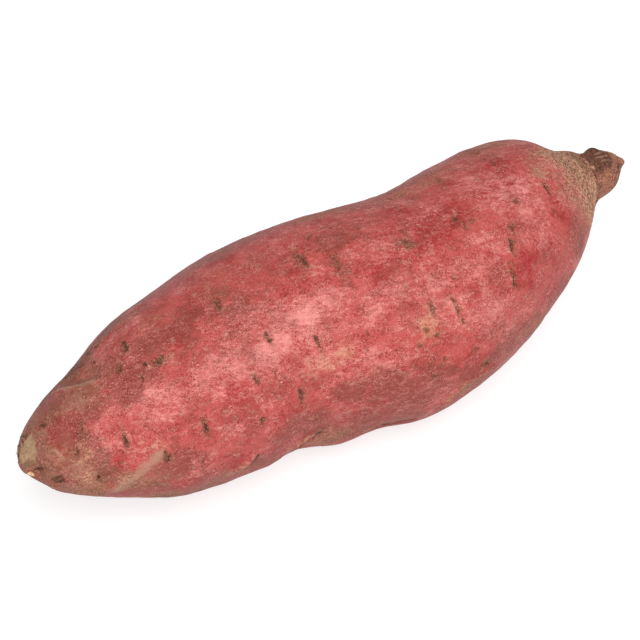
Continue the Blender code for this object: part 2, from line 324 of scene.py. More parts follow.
# The middle of the red hollow at the tip, in mm.
RED_HOLLOW = (-87.5, -4, 43.5)

# The end of the stub faces this way.
CUT_LEAN = math.radians(42)
CUT_TOWARDS = math.radians(35)
CUT_FACES = Vector(
    (
        math.cos(CUT_LEAN),
        math.sin(CUT_LEAN) * math.cos(CUT_TOWARDS),
        math.sin(CUT_LEAN) * math.sin(CUT_TOWARDS),
    )
)


def size_in_mm(name, description, millimetres):
    """A height or depth that a user can change."""
    return FloatProperty(
        name=name, description=description, default=millimetres * MM, min=0, unit="LENGTH"
    )


def tint(name, description, default):
    """A colour that a user can change."""
    return FloatVectorProperty(
        name=name, description=description, default=default, subtype="COLOR"
    )


class SkinSizes(bpy.types.PropertyGroup):
    scar_depth: size_in_mm("Scar depth", "How deep the slit of a root scar is", 0.6)
    lip_height: size_in_mm("Scar lip", "How far the corky lip round a scar stands up", 0.22)
    unevenness: size_in_mm("Unevenness", "Height of the broad unevenness of the skin", 0.32)
    wrinkle: size_in_mm("Wrinkle height", "Height of the small wrinkles across the body", 0.09)
    hidden_scars: IntProperty(
        name="Scattered scars",
        description="Number of root scars on the back and the underside",
        default=30,
        min=0,
    )
    hidden_patches: IntProperty(
        name="Scattered patches",
        description="Number of coloured patches on the back and the underside",
        default=46,
        min=0,
    )
    seed: IntProperty(
        name="Seed", description="Changes where the scattered scars lie", default=7
    )


class SkinColours(bpy.types.PropertyGroup):
    rose: tint("Rose", "Main colour of the skin", (0.505, 0.089, 0.079))
    crimson: tint("Crimson", "Deeper mottles of the skin", (0.36, 0.029, 0.030))
    # Along the lit middle band the pale scuffs are partly painted highlight.
    blush: tint("Blush", "Pale scuffs and flecks", (0.88, 0.31, 0.28))
    pore: tint("Pores", "Tiny dark pores all over the skin", (0.28, 0.024, 0.02))
    fleck: tint("Flecks", "Tiny light flecks and dashes in the skin", (0.95, 0.35, 0.305))
    # Near the top and bottom edges this greyish pink is painted sheen and shade.
    mauve: tint("Mauve", "Dull greyish pink near the edges", (0.275, 0.087, 0.069))
    tan: tint("Tan", "Corky skin at the ends and edges", (0.375, 0.15, 0.092))
    # Also laid as painted shade low on the sides and high on the back.
    dusty: tint("Dusty red", "Dull brownish places on the red skin", (0.258, 0.055, 0.042))
    net: tint("Neck", "Main colour of the netted neck", (0.43, 0.2, 0.108))
    hole: tint("Net holes", "Dark pits between the threads of the net", (0.16, 0.066, 0.034))
    cream: tint("Net threads", "Pale corky threads of the net", (0.84, 0.58, 0.34))
    olive: tint("Olive", "Rough patches round scars", (0.165, 0.075, 0.04))
    straw: tint("Straw", "Yellowish rubbed places and folds", (0.63, 0.325, 0.19))
    cork: tint("Cork", "Inside of the scars", (0.1, 0.048, 0.028))
    # Also laid as painted shade in creases and along the outline.
    bark: tint("Bark", "Dark corky bark of the stub", (0.11, 0.048, 0.030))
    flesh: tint("Cut face", "Dried face of the cut stub", (0.6, 0.36, 0.2))
    scraped: tint(
        "Scraped tip", "Smooth patch where the tip's skin is rubbed off", (0.5, 0.33, 0.185)
    )
    # On the folds and along the top edge near the crown this pale colour is partly painted
    # highlight and sheen.
    fold: tint(
        "Ribs and folds", "Pale pinkish ribs of the bark and folds of the tip", (0.47, 0.25, 0.17)
    )


class StageSettings(bpy.types.PropertyGroup):
    azimuth: FloatProperty(
        name="Camera azimuth",
        description="Direction that the camera stands in, from the front",
        default=math.radians(-32),
        subtype="ANGLE",
    )
    elevation: FloatProperty(
        name="Camera elevation",
        description="Height of the camera above the floor, as an angle",
        default=math.radians(50),
        subtype="ANGLE",
    )
    distance: FloatProperty(
        name="Camera distance",
        description="From the camera to the root",
        default=0.64,
        unit="LENGTH",
    )
    lens: FloatProperty(
        name="Lens", description="Focal length in millimetres", default=130
    )
    key_power: FloatProperty(
        name="Key light", description="Power of the large soft light", default=14.0
    )
    world_light: FloatProperty(
        name="Room light", description="Brightness of the white room", default=0.27
    )
    floor_glow: FloatProperty(
        name="Floor glow",
        description="How far the floor shines, as a lit white table does",
        default=0.74,
        min=0,
    )
    floor_colour: tint("Floor", "Colour of the floor", (0.36, 0.36, 0.36))


# ---- working helpers


def deselect_all():
    for thing in bpy.context.view_layer.objects:
        thing.select_set(False)


def work_on(piece):
    deselect_all()
    piece.select_set(True)
    bpy.context.view_layer.objects.active = piece


def edit(piece):
    """Enters edit mode with all of the piece selected."""
    work_on(piece)
    bpy.ops.object.mode_set(mode="EDIT")
    bpy.ops.mesh.select_all(action="SELECT")


def edit_only(piece, kind, chosen):
    """Enters edit mode with only these edges or faces of the piece selected."""
    work_on(piece)
    bpy.ops.object.mode_set(mode="EDIT")
    bpy.ops.mesh.select_mode(type=kind)
    bpy.ops.mesh.select_all(action="DESELECT")
    leave_edit()
    items = piece.data.edges if kind == "EDGE" else piece.data.polygons
    items.foreach_set("select", chosen)
    bpy.ops.object.mode_set(mode="EDIT")


def leave_edit():
    bpy.ops.object.mode_set(mode="OBJECT")


def read(items, name, kind=np.float64):
    """Three numbers of each item, such as its place, as rows."""
    values = np.empty(len(items) * 3, kind)
    items.foreach_get(name, values)
    return values.reshape(-1, 3).astype(float)


def unit(way):
    return way / np.linalg.norm(way)


def beside(points, start, run):
    """How far along a straight stretch the points are, from 0 to 1, and how far off it."""
    passed = np.clip((points - start) @ run / (run @ run), 0, 1)
    return passed, np.linalg.norm(points - start - passed[:, None] * run, axis=1)


def smooth_step(low, high, value):
    share = np.clip((value - low) / (high - low), 0, 1)
    return share * share * (3 - 2 * share)


# Large primes that turn a cell's whole numbers into a value that looks random.
CELL_PRIMES = np.array([374761393, 668265263, 2147483647])
SEED_PRIME = 982451653
MIX_PRIME = 1274126177
LOW_BITS = 0x7FFFFFFF
SEED_SHIFT = 31.7


def grain(points, size, seed=0):
    """Smooth noise from -1 to 1 over points in mm, with lumps of this size."""
    scaled = points / size + SEED_SHIFT * (seed + 1)
    cell = np.floor(scaled).astype(np.int64)
    part = scaled - cell
    part = part * part * (3 - 2 * part)
    total = np.zeros(len(points))
    for corner in range(8):
        step = np.array([corner & 1, corner >> 1 & 1, corner >> 2 & 1])
        mixed = ((cell + step) @ CELL_PRIMES + seed * SEED_PRIME) & LOW_BITS
        mixed = (mixed ^ (mixed >> 13)) * MIX_PRIME & LOW_BITS
        value = (mixed ^ (mixed >> 16)) % 65536 / 32767.5 - 1
        weight = np.prod(np.where(step, part, 1 - part), axis=1)
        total += weight * value
    return total


class Surface:
    """The skin while it is shaped: places and normals in mm, and the marks."""

    def __init__(self, mesh):
        self.mesh = mesh
        self.at = read(mesh.vertices, "co") / MM
        self.out = read(mesh.vertex_normals, "vector", np.float32)
        self.rise = np.zeros(len(self.at))
        self.marks = {kind: np.zeros(len(self.at)) for kind in MARKS}
        side, height = self.at[:, 1] - SPINE_Y, self.at[:, 2] - SPINE_Z
        self.around = np.degrees(np.arctan2(height, side)) % 360
        self.radius = np.hypot(side, height)

    def nearest(self, along, around):
        turned = np.radians((self.around - around + 180) % 360 - 180)
        apart = (self.at[:, 0] - along) ** 2 + (turned * self.radius) ** 2
        return int(np.argmin(apart))

    def place(self, *where):
        """The skin's point at (along, around), or nearest to a point in mm."""
        if len(where) == 2:
            return self.at[self.nearest(*where)]
        return self.at[int(np.argmin(((self.at - where) ** 2).sum(1)))]

    def within(self, centre, reach):
        """Which points are nearer to this one than the reach, in mm."""
        return ((self.at - centre) ** 2).sum(1) < reach**2

    def layout(self, where, tilt=0):
        """Every point as mm across the body, along it and off it from a place."""
        centre = self.place(*where)
        away = self.at - centre
        out = unit(self.out[self.within(centre, SLANT_REACH)].mean(0))
        forth = unit(np.array([1.0, 0, 0]) - out[0] * out)
        across = np.cross(out, forth)
        turn = math.radians(tilt)
        across, forth = (
            math.cos(turn) * across + math.sin(turn) * forth,
            math.cos(turn) * forth - math.sin(turn) * across,
        )
        return away @ across, away @ forth, away @ out

    def add(self, kind, amount, where=slice(None)):
        self.marks[kind][where] = np.maximum(self.marks[kind][where], amount)

    def lump(self, where, size, rise):
        away = ((self.at - self.place(*where)) ** 2).sum(1)
        self.rise += rise * np.exp(-away / size**2)

    def area(self, kind, places, strength, soft, seed):
        """Marks the area inside these places, with a ragged edge."""
        corners = np.array([self.place(*p) for p in places])
        middle = corners.mean(0)
        spread = np.linalg.norm(corners - middle, axis=1).max()
        near = self.within(middle, spread + 3 * soft + 1)
        out = unit(self.out[self.within(middle, spread)].mean(0))
        forth = unit(np.cross(out, [0, 1, 0]))
        flat = np.array([forth, np.cross(out, forth)]).T
        here, ring = (self.at[near] - middle) @ flat, (corners - middle) @ flat
        facing = self.out[near] @ out > -0.2
        gap = np.full(len(here), FAR_AWAY)
        inside = np.zeros(len(here), bool)
        for a, b in zip(ring, np.roll(ring, -1, axis=0)):
            gap = np.minimum(gap, beside(here, a, b - a)[1])
            crosses = (a[1] > here[:, 1]) != (b[1] > here[:, 1])
            level = a[0] + (here[:, 1] - a[1]) * (b[0] - a[0]) / (b[1] - a[1] + 1e-9)
            inside ^= crosses & (here[:, 0] < level)
        depth = np.where(inside, gap, -gap) + 0.8 * soft * grain(self.at[near], 1.6, seed)
        self.add(kind, strength * smooth_step(-soft, soft, depth) * facing, near)

    def patch(self, kind, seed, along, around, length, width, strength, tilt=0):
        """Marks an oval with a ragged edge that fades out."""
        a, b, off = self.layout((along, around), tilt)
        far = np.hypot(a / (width / 2), b / (length / 2))
        near = (far < 2.2) & (np.abs(off) < 8)
        here = self.at[near]
        ragged = 0.35 * grain(here, 2.6, seed) + 0.2 * grain(here, 1.1, seed + 5)
        amount = 1 - smooth_step(0.45, 1.35, far[near] + ragged)
        self.add(kind, strength * amount, near)

    def line(self, places, height, width, kind, strength, seed):
        """A raised fold or, with a negative height, a crease along these places."""
        steps, rounds = 8, 6
        knots = [self.place(*p) for p in places]
        course = [
            start + (end - start) * step / steps
            for start, end in zip(knots, knots[1:])
            for step in range(steps)
        ]
        course = np.array(course + knots[-1:])
        for _ in range(rounds):
            course[1:-1] = (course[:-2] + 2 * course[1:-1] + course[2:]) / 4
        apart = np.full(len(self.at), FAR_AWAY)
        share = np.zeros(len(self.at))
        for i in range(len(course) - 1):
            passed, gap = beside(self.at, course[i], course[i + 1] - course[i])
            nearer = gap < apart
            apart = np.where(nearer, gap, apart)
            share = np.where(nearer, (i + passed) / (len(course) - 1), share)
        taper = np.clip(np.sin(np.pi * np.clip(share, 0.04, 0.96)) * 1.6, 0, 1)
        wander = 1 + 0.35 * grain(self.at, 2.2, seed)
        profile = np.exp(-((apart / (width * wander)) ** 2)) * taper
        self.rise += height * profile
        self.add(kind, strength * profile)

    def scar(self, along, around, length, width, tilt, openness, depth, lip, seed):
        """A dark slit across the body in a scab with corky lips and a pale rim."""
        a, b, off = self.layout((along, around), tilt)
        near = (np.abs(a) < length) & (np.abs(b) < 3 * width + 1) & (np.abs(off) < 3)
        a, b, here = a[near], b[near], self.at[near]
        wobble = 0.3 * grain(here, 1.1, seed) + 0.22 * grain(here, 0.6, seed + 4)
        b = b + 0.3 * width * grain(here, 2.2, seed + 3)
        s, q = a / (length / 2), b / (width / 2)
        far = np.hypot(s, q) + wobble
        scab = 1 - smooth_step(0.4, 1.3, far)
        slit = np.exp(-((q / 0.38) ** 2)) * (1 - smooth_step(0.5, 0.95, np.abs(s)))
        slit *= smooth_step(-0.6, 0.1, grain(here, 1.3, seed + 7))
        lips = np.exp(-(((far - 1.1) / 0.4) ** 2))
        crumbs = scab * grain(here, 0.55, seed + 9)
        self.rise[near] += lip * (0.7 * lips + 1.3 * crumbs) - depth * openness * slit
        self.add("cork", openness * slit, near)
        self.add("scab", (0.32 + 0.42 * openness) * scab, near)
        self.add("olive", 0.45 * (1 - smooth_step(0.6, 2.2, far)), near)
        rim = np.exp(-(((far - 1.4) / 0.5) ** 2))
        rim *= smooth_step(-0.2, 0.6, grain(here, 1.4, seed + 11))
        self.add("straw", 0.45 * rim, near)

    def finish(self):
        """Moves the mesh's points and writes the marks into it."""
        moved = (self.at + self.out * self.rise[:, None]) * MM
        self.mesh.vertices.foreach_set("co", moved.reshape(-1))
        for kind, amount in self.marks.items():
            layer = self.mesh.attributes.new(kind, "FLOAT", "POINT")
            layer.data.foreach_set("value", np.clip(amount, 0, 1).astype(np.float32))
        self.mesh.update()


def opaque(colour):
    """A plain colour with its alpha, or a node's output as it is."""
    return colour if isinstance(colour, bpy.types.NodeSocket) else (*colour, 1)


class Wiring:
    """Adds a material's nodes and joins them."""

    def __init__(self, name):
        self.material = bpy.data.materials.new(name)
        self.material.use_nodes = True
        self.tree = self.material.node_tree
        self.tree.nodes.clear()
        self.colour = None

    def add(self, kind, inputs=(), **settings):
        node = self.tree.nodes.new(kind)
        for key, value in settings.items():
            setattr(node, key, value)
        for key, value in dict(inputs).items():
            socket = node.inputs[key]
            if isinstance(value, bpy.types.NodeSocket):
                self.tree.links.new(value, socket)
            else:
                socket.default_value = value
        return node

    def sum(self, operation, *values, clamp=False):
        return self.add(
            "ShaderNodeMath", enumerate(values), operation=operation, use_clamp=clamp
        ).outputs[0]

    def plus(self, first, second):
        return self.sum("ADD", first, second)

    def times(self, first, second):
        return self.sum("MULTIPLY", first, second)

    def larger(self, first, second):
        return self.sum("MAXIMUM", first, second)

    def weigh(self, value, share, rest):
        """The value times its share, plus the rest."""
        return self.sum("MULTIPLY_ADD", value, share, rest)

    def centred(self, noise, share):
        """A noise from 0 to 1 as one about nought, this much from end to end."""
        return self.weigh(noise, share, -share / 2)

    def mark(self, kind):
        return self.add("ShaderNodeAttribute", attribute_name=kind).outputs["Fac"]

    def noise(self, where, scale, detail=2.0, rough=0.5, distortion=0.0):
        inputs = {"Vector": where, "Scale": scale, "Detail": detail, "Roughness": rough}
        inputs["Distortion"] = distortion
        return self.add("ShaderNodeTexNoise", inputs).outputs["Fac"]

    def stretch(self, value, low, high, to_low=0.0, to_high=1.0):
        return self.add(
            "ShaderNodeMapRange",
            {0: value, 1: low, 2: high, 3: to_low, 4: to_high},
            interpolation_type="SMOOTHSTEP",
        ).outputs[0]

    def thread(self, value, level, width):
        """Thin lines where a noise passes this level."""
        off = self.sum("ABSOLUTE", self.sum("SUBTRACT", value, level))
        return self.stretch(off, 0.0, width, 1.0, 0.0)

    def blend(self, share, first, second):
        """The first colour turned towards the second by this share."""
        inputs = {0: share, 6: opaque(first), 7: opaque(second)}
        return self.add("ShaderNodeMix", inputs, data_type="RGBA", clamp_factor=True).outputs[2]

    def cover(self, share, colour):
        """Lays a colour over what is there so far, by this share."""
        self.colour = self.blend(share, self.colour, colour)

    def metres(self):
        return self.add("ShaderNodeTexCoord").outputs["Object"]

    def scaled(self, where, along):
        """Places in mm, drawn out along the root where this is under 1000."""
        scale = (along, PER_METRE, PER_METRE)
        return self.add("ShaderNodeMapping", {"Vector": where, "Scale": scale}).outputs[0]

    def turned(self, where, degrees):
        turn = (0, 0, math.radians(degrees))
        return self.add("ShaderNodeMapping", {"Vector": where, "Rotation": turn}).outputs[0]

    def finish(self, finish):
        """The material, with a shader of this finish."""
        shader = self.add("ShaderNodeBsdfPrincipled", finish)
        self.add("ShaderNodeOutputMaterial", {"Surface": shader.outputs[0]})
        return self.material


def skin_material(colours):
    """Red skin: mottles, streaks, flecks, corky ends, scars and the cut face."""
    w = Wiring("sweet potato skin")
    metres = w.metres()
    mm = w.scaled(metres, PER_METRE)
    grown = w.turned(metres, GRAIN_TURN)
    long = w.scaled(grown, 480)

    broad = w.noise(mm, 0.05, 2, 0.55)
    mottle = w.noise(mm, 0.17, 3, 0.62)
    small = w.noise(mm, 0.62, 3, 0.62)
    fine = w.noise(mm, 1.7, 2, 0.62, 0.6)
    speck = w.noise(mm, 2.4, 1, 0.6, 0.4)
    crumbs = w.noise(mm, 2.4, 2, 0.6)
    weave = w.noise(mm, 1.45, 2, 0.6, 0.6)
    streak = w.noise(long, 1.0, 3, 0.62)
    thread = w.noise(long, 2.2, 2, 0.55, 0.4)
    fibre = w.noise(w.scaled(grown, 700), 1.25, 2, 0.6, 0.8)
    lines = w.larger(w.thread(fibre, 0.53, 0.04), w.thread(fine, 0.55, 0.035))

    def patchy(kind, ragged, low, high, most=1.0):
        """How far a mark shows, with its edge broken up by the small noise."""
        edge = w.centred(small, ragged)
        return w.stretch(w.plus(w.mark(kind), edge), low, high, 0.0, most)

    # Rose with deeper mottles, pale scuffs and dull brownish places; the deep and dusty marks also
    # carry painted shade, and the pale marks painted highlight along the lit middle.
    deep = w.plus(w.mark("deep"), w.centred(mottle, 4.2))
    deep = w.plus(deep, w.centred(small, 2.8))
    w.colour = w.blend(w.stretch(deep, -0.3, 1.1), colours.rose, colours.crimson)
    scuff_and_highlight = w.weigh(w.mark("pale"), 1.05, w.centred(broad, 2.6))
    drift = w.noise(w.scaled(grown, 800), 0.2, 3, 0.6)
    scuffs_and_highlights = w.plus(scuff_and_highlight, w.centred(drift, 2.8))
    scuffs_and_highlights = w.plus(scuffs_and_highlights, w.weigh(streak, 2.2, -1.12))
    scuffs_and_highlights = w.plus(scuffs_and_highlights, w.centred(small, 1.7))
    w.cover(w.stretch(scuffs_and_highlights, -0.15, 1.5, 0.0, 0.85), colours.blush)
    w.cover(w.stretch(scuffs_and_highlights, 1.1, 2.2, 0.0, 0.65), colours.fleck)
    # Dull brownish places, which low on the sides and high on the back are painted shade.
    dust_and_shade = w.weigh(small, 0.55, w.noise(mm, 0.115, 3, 0.6))
    dust_and_shade = w.plus(dust_and_shade, w.times(w.mark("dusty"), 0.45))
    w.cover(w.stretch(dust_and_shade, 0.7, 1.12, 0.0, 0.9), colours.dusty)

    # The neck's net of pale threads over dark pits, and corky tan, which underneath and along the
    # bottom edge is also painted shade.
    holes = w.stretch(weave, 0.5, 0.36)
    threads = w.thread(weave, 0.55, 0.06)
    woven = w.blend(w.stretch(mottle, 0.42, 0.62), colours.net, colours.tan)
    woven = w.blend(w.times(holes, 0.85), woven, colours.hole)
    woven = w.blend(w.times(threads, 0.9), woven, colours.cream)
    net = patchy("net", 1.4, 0.1, 1.1)
    w.cover(net, woven)
    russet = w.weigh(mottle, 0.6, w.weigh(small, 0.9, -0.75))
    russet = w.stretch(w.plus(russet, w.mark("russet")), 0.05, 1.0)
    corky = w.blend(w.times(holes, 0.6), colours.tan, colours.olive)
    corky = w.blend(w.times(lines, 0.9), corky, colours.straw)
    w.cover(w.times(russet, 0.88), corky)

    # Dull, rubbed and rough places: the mauve along the top and bottom edges is painted sheen and
    # shade, the olive in creases and dips painted shade, and the straw on folds partly painted
    # highlight.
    w.cover(patchy("mauve", 0.9, 0.0, 1.0, 0.8), colours.mauve)
    straw = w.weigh(streak, 1.4, w.weigh(small, 1.6, -1.5))
    straw = w.stretch(w.plus(straw, w.mark("straw")), 0.05, 1.3, 0.0, 0.85)
    w.cover(straw, colours.straw)
    olive = patchy("olive", 1.5, 0.05, 1.2, 0.8)
    w.cover(olive, colours.olive)
    crusts = w.times(olive, w.stretch(crumbs, 0.56, 0.66, 0.0, 0.8))
    w.cover(crusts, colours.straw)

    # Dark pores, light flecks and short dashes.
    corked = w.larger(net, russet)
    busy = w.stretch(w.noise(mm, 0.24, 2, 0.6), 0.4, 0.62, 0.45, 1.0)
    pores = w.larger(w.stretch(speck, 0.45, 0.31), w.stretch(fine, 0.42, 0.28))
    pores = w.times(w.times(pores, busy), w.stretch(corked, 0, 1, 0.85, 0.15))
    w.cover(pores, colours.pore)
    worn = w.weigh(scuff_and_highlight, 0.3, w.noise(mm, 0.31, 2, 0.6))
    worn = w.stretch(worn, 0.38, 0.66, 0.17, 1.0)
    worn = w.times(worn, w.weigh(w.mark("dusty"), -0.45, 1.0))
    flecks = w.times(lines, w.stretch(speck, 0.4, 0.6, 0.0, 0.95))
    flecks = w.times(flecks, worn)
    w.cover(flecks, colours.fleck)
    dashes = w.times(w.thread(thread, 0.52, 0.045), w.stretch(streak, 0.44, 0.6, 0.0, 0.7))
    w.cover(w.times(dashes, worn), colours.fleck)

    # Scabs of root scars, crumbs of light and dark cork.
    scab = w.plus(w.mark("scab"), w.weigh(fine, 1.2, -0.62))
    scab = w.stretch(scab, 0.2, 0.9)
    crumb_colour = w.blend(w.stretch(crumbs, 0.34, 0.46), colours.cork, colours.olive)
    crumb_colour = w.blend(w.stretch(crumbs, 0.54, 0.64), crumb_colour, colours.straw)
    w.cover(w.times(scab, 0.85), crumb_colour)

    # The scraped patch; bark, also laid as painted shade in creases and along the outline; pale
    # folds, partly painted highlight; the cut face and the slits of the scars.
    scraped = w.mark("scrape")
    rubbed = w.blend(w.stretch(mottle, 0.45, 0.7, 0.0, 0.5), colours.scraped, colours.net)
    rubbed = w.blend(patchy("olive", 0.5, 0.1, 0.9, 0.75), rubbed, colours.olive)
    w.cover(w.stretch(scraped, 0.1, 0.9, 0.0, 0.9), rubbed)
    bark_and_shade_colour = w.blend(w.stretch(crumbs, 0.52, 0.66, 0.0, 0.8), colours.bark, colours.tan)
    w.cover(patchy("bark", 0.9, 0.15, 0.85, 0.92), bark_and_shade_colour)
    w.cover(patchy("fold", 0.8, 0.2, 1.0, 0.85), colours.fold)
    dried = w.stretch(w.noise(mm, 1.4, 3, 0.6), 0.4, 0.62)
    face = w.blend(dried, colours.flesh, colours.tan)
    w.cover(w.stretch(w.mark("cut"), 0.3, 0.6), face)
    cork = w.plus(w.mark("cork"), w.weigh(fine, 0.9, -0.47))
    cork = w.stretch(cork, 0.2, 0.95)
    w.cover(w.times(cork, 0.8), colours.cork)

    # Dry corky places are rougher, and the scraped patch is smoother.
    dry = w.larger(w.larger(corked, olive), scab)
    rough = w.weigh(dry, 0.2, 0.48)
    rough = w.plus(rough, w.centred(small, 0.24))
    rough = w.sum("SUBTRACT", rough, w.times(scraped, 0.1), clamp=True)

    # Fine grain, raised flecks and crumbs, sunk pores, pits and slits.
    height = w.weigh(small, 0.9, w.times(fine, 0.6))
    for part, share in (
        (streak, 0.35),
        (flecks, 0.3),
        (pores, -0.35),
        (w.times(holes, corked), -1.3),
        (cork, -0.8),
        (w.times(crumbs, scab), 2.0),
    ):
        height = w.weigh(part, share, height)
    relief = {"Strength": 1.0, "Distance": GRAIN_HEIGHT, "Height": height}
    bump = w.add("ShaderNodeBump", relief).outputs[0]

    finish = {"Base Color": w.colour, "Roughness": rough, "Normal": bump}
    finish["Specular IOR Level"] = 0.13
    return w.finish(finish)


# ---- the skin


def merged_copy(name):
    """The CAD root as one mesh of welded squares."""
    mesh = frame["nodes"][ROOT_NODE].data.copy()
    mesh.name = name
    mesh.materials.clear()
    piece = bpy.data.objects.new(name, mesh)
    bpy.context.scene.collection.objects.link(piece)
    work_on(piece)
    bpy.ops.mesh.customdata_custom_splitnormals_clear()
    edit(piece)
    bpy.ops.mesh.remove_doubles(threshold=1e-5)
    widest = math.radians(60)
    bpy.ops.mesh.tris_convert_to_quads(face_threshold=widest, shape_threshold=widest)
    bpy.ops.mesh.mark_sharp(clear=True)
    bpy.ops.mesh.faces_shade_smooth()
    leave_edit()
    for layer in list(mesh.uv_layers):
        mesh.uv_layers.remove(layer)
    return piece


def lay_flat(piece):
    """Seams under the belly and round each end, then the flat layout."""
    mesh = piece.data
    mesh.uv_layers.new(name="OFBake")
    for start, way in SEAMS:
        edge = nearest_edge(mesh, np.array(start), np.array(way))
        edit_only(piece, "EDGE", np.arange(len(mesh.edges)) == edge)
        bpy.ops.mesh.loop_multi_select(ring=False)
        bpy.ops.mesh.mark_seam(clear=False)
        leave_edit()
    # The rim of the cut face parts it from the stub.
    ends = np.array([v.co for v in mesh.vertices]) @ np.array(CUT_FACES) / MM
    on_face = ends.max() - ends < CUT_RIM
    sides = {}
    for face in mesh.polygons:
        flat = all(on_face[v] for v in face.vertices)
        for key in face.edge_keys:
            sides.setdefault(key, set()).add(flat)
    for edge in mesh.edges:
        if len(sides[edge.key]) == 2:
            edge.use_seam = True
    edit(piece)
    bpy.ops.uv.unwrap(method="ANGLE_BASED", margin=0.01)
    bpy.ops.uv.select_all(action="SELECT")
    bpy.ops.uv.average_islands_scale()
    bpy.ops.uv.pack_islands(rotate=True, margin=0.01)
    leave_edit()


def nearest_edge(mesh, start, way):
    """The edge nearest to this place, in mm, that runs this way."""
    points = np.array([v.co for v in mesh.vertices]) / MM
    pairs = np.array([e.vertices[:] for e in mesh.edges])
    run = points[pairs[:, 1]] - points[pairs[:, 0]]
    along = np.abs(run @ way) / np.linalg.norm(run, axis=1)
    away = np.linalg.norm(points[pairs].mean(1) - start, axis=1)
    return int(np.argmin(np.where(along > 0.8, away, FAR_AWAY)))


class SkinMaker(bpy.types.Operator):
    """Make the root's skin with its scars, folds, patches and cut stub"""

    bl_idname = "sweet_potato.skin"
    bl_label = "Skin"

    def execute(self, context):
        sizes = context.scene.sweet_potato_sizes
        piece = merged_copy("sweet_potato_skin")
        mesh = piece.data

        lay_flat(piece)
        smoother = piece.modifiers.new("smoother", "SUBSURF")
        smoother.levels = smoother.render_levels = 2
        bpy.ops.object.modifier_apply(modifier=smoother.name)

        refine(piece)
        skin = Surface(mesh)
        shape_skin(skin, sizes)
        skin.finish()
        mesh.polygons.foreach_set("use_smooth", [True] * len(mesh.polygons))
        mesh.materials.append(skin_material(context.scene.sweet_potato_colours))

        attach(piece, BODY)
        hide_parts(ROOT_NODE)
        return {"FINISHED"}


def refine(piece):
    """Cuts the skin finer round the scars, where a millimetre grid is too coarse."""
    mesh = piece.data
    skin = Surface(mesh)
    centres = read(mesh.polygons, "center") / MM
    wanted = np.zeros(len(centres), bool)
    for along, around, length, width, *_ in SCARS:
        away = centres - skin.place(along, around)
        wanted |= (away**2).sum(1) < (max(length, width) / 2 + SCAR_MARGIN) ** 2
    edit_only(piece, "FACE", wanted)
    bpy.ops.mesh.subdivide(number_cuts=3, smoothness=0, ngon=False)
    leave_edit()


def drawn(chance, ranges):
    """A random number from each range, by name."""
    return {name: chance.uniform(*ends) for name, ends in ranges.items()}


def shape_skin(skin, sizes):
    """The skin's unevenness, lumps, folds, scars and coloured places."""
    at = skin.at
    broad = 0.7 * grain(at, 17, 1) + 0.45 * grain(at, 8, 2)
    skin.rise += sizes.unevenness / MM * broad
    squeezed = at * np.array([1, 0.35, 0.35])
    small = grain(squeezed, 2.6, 3) + 0.8 * grain(at, 1.7, 4)
    skin.rise += sizes.wrinkle / MM * small
    for lump in LUMPS:
        skin.lump(*lump)
    for seed, (places, height, width, kind, strength) in enumerate(RIDGES):
        skin.line(places, height, width, kind, strength, seed)
    # The dark marks of the creases are painted shade.
    for seed, (places, height, width, kind, strength) in enumerate(CREASES):
        skin.line(places, -height, width, kind, strength, seed + CREASE_SEEDS)
    patches = [(kind, place) for kind, places in PATCHES.items() for place in places]
    for seed, (kind, place) in enumerate(patches):
        skin.patch(kind, seed, *place)
    for seed, (kind, strength, soft, places) in enumerate(AREAS):
        skin.area(kind, places, strength, soft, seed)

    depth, lip = sizes.scar_depth / MM, sizes.lip_height / MM
    for seed, scar in enumerate(SCARS):
        skin.scar(*scar, depth, lip, seed)
    chance = random.Random(sizes.seed)
    for number in range(sizes.hidden_scars):
        scar = drawn(chance, SCATTERED_SCAR)
        skin.scar(**scar, depth=depth, lip=lip, seed=number + SCATTERED_SCAR_SEEDS)
    for number in range(sizes.hidden_patches):
        kind = chance.choice(SCATTERED_KINDS)
        patch = drawn(chance, SCATTERED_PATCH)
        skin.patch(kind, number + SCATTERED_PATCH_SEEDS, **patch)
    paint_ends(skin)


